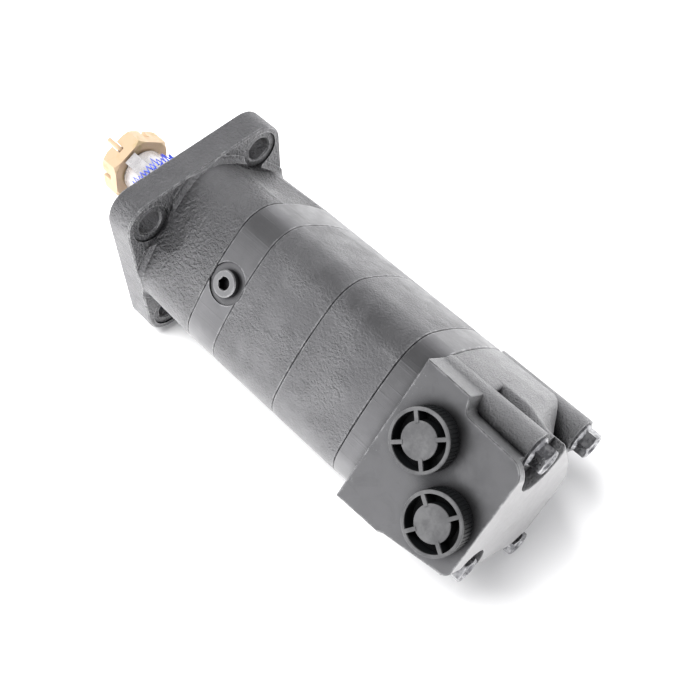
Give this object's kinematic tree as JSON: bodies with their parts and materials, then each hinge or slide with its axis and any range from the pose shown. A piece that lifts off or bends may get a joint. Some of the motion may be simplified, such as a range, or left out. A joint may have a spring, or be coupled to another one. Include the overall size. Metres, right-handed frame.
{
  "type": "hydraulic motor",
  "caption": "orbital disc-valve hydraulic motor with square bolted flange, tapered keyed shaft with castle nut, stacked square body, drain plug and plugged side ports",
  "frame": {"origin": "centre of the mounting face, on the shaft axis", "axes": "the output shaft points to -X and the valve housing to +X; the square flange's sides run along Y and Z; the port pad faces -Y+Z"},
  "size_m": [0.3148, 0.1223, 0.1232],
  "materials": {
    "cast_black": "semi-gloss black paint over a rough casting",
    "machined_black": "semi-gloss black paint over machined faces",
    "bolt_steel": "dark oxide with worn edges",
    "bright_steel": "ground bright steel",
    "zinc_yellow": "yellow chromated zinc plating",
    "hardened_steel": "hardened and ground",
    "seal_rubber": "smooth",
    "net_plastic": "soft moulded net",
    "plug_plastic": "moulded, semi-matte",
    "plug_steel": "grey plated",
    "cage_steel": "pressed steel",
    "valve_bronze": "lapped"
  },
  "bodies": {
    "housing": {"mounting_housing": "cast_black", "drain_spacer": "machined_black", "link_housing": "cast_black", "gear_ring": "cast_black", "gear_ring_rollers": "hardened_steel", "valve_plate": "machined_black", "valve_housing": "cast_black", "tie_bolts": "bolt_steel", "section_seals": "seal_rubber", "drain_plug": "plug_steel", "drain_plug_seal": "seal_rubber", "shaft_seal": "seal_rubber", "seal_snap_ring": "hardened_steel", "dust_wiper": "seal_rubber", "front_bearing_cup": "hardened_steel", "rear_bearing_cup": "hardened_steel", "balance_ring": "valve_bronze", "balance_ring_seal": "seal_rubber", "balance_ring_pins": "hardened_steel", "balance_ring_springs": "hardened_steel"},
    "shaft": {"output_shaft": "bright_steel", "shaft_key": "bright_steel", "castle_nut": "zinc_yellow", "cotter_pin": "zinc_yellow", "bearing_lock_nut": "hardened_steel", "shaft_net_sleeve": "net_plastic", "front_bearing_cone": "hardened_steel", "rear_bearing_cone": "hardened_steel"},
    "front_bearing_set": {"front_bearing_cage": "cage_steel", "front_bearing_rollers": "hardened_steel"},
    "rear_bearing_set": {"rear_bearing_cage": "cage_steel", "rear_bearing_rollers": "hardened_steel"},
    "drive_links": {"main_drive_link": "hardened_steel", "valve_drive_link": "hardened_steel"},
    "star": {"star_rotor": "hardened_steel"},
    "valve": {"disc_valve": "hardened_steel"},
    "plug_a": {"port_plug_a": "plug_plastic", "port_plug_a_seal": "seal_rubber"},
    "plug_b": {"port_plug_b": "plug_plastic", "port_plug_b_seal": "seal_rubber"}
  },
  "joints": [
    {"name": "shaft_spin", "type": "hinge", "parent": "housing", "child": "shaft", "pos_m": [0, 0, 0], "axis": [1, 0, 0], "continuous": true},
    {"name": "front_bearing_roll", "type": "hinge", "parent": "housing", "child": "front_bearing_set", "pos_m": [0, 0, 0], "axis": [1, 0, 0], "continuous": true},
    {"name": "rear_bearing_roll", "type": "hinge", "parent": "housing", "child": "rear_bearing_set", "pos_m": [0, 0, 0], "axis": [1, 0, 0], "continuous": true},
    {"name": "link_orbit", "type": "hinge", "parent": "housing", "child": "drive_links", "pos_m": [0, 0, 0], "axis": [1, 0, 0], "continuous": true},
    {"name": "star_turn", "type": "hinge", "parent": "drive_links", "child": "star", "pos_m": [0, 0.00191, 0.00191], "axis": [1, 0, 0], "continuous": true},
    {"name": "valve_spin", "type": "hinge", "parent": "housing", "child": "valve", "pos_m": [0, 0, 0], "axis": [1, 0, 0], "continuous": true},
    {"name": "port_plug_a_pull", "type": "slide", "parent": "housing", "child": "plug_a", "axis": [0, -0.7071, 0.7071], "range_m": [0, 0.1]},
    {"name": "port_plug_b_pull", "type": "slide", "parent": "housing", "child": "plug_b", "axis": [0, -0.7071, 0.7071], "range_m": [0, 0.1]}
  ],
  "couplings": [
    {"joint": "front_bearing_roll", "follows": "shaft_spin", "ratio": 0.439},
    {"joint": "rear_bearing_roll", "follows": "shaft_spin", "ratio": 0.4433},
    {"joint": "link_orbit", "follows": "shaft_spin", "ratio": -6},
    {"joint": "star_turn", "follows": "shaft_spin", "ratio": 7},
    {"joint": "valve_spin", "follows": "shaft_spin", "ratio": 1}
  ]
}
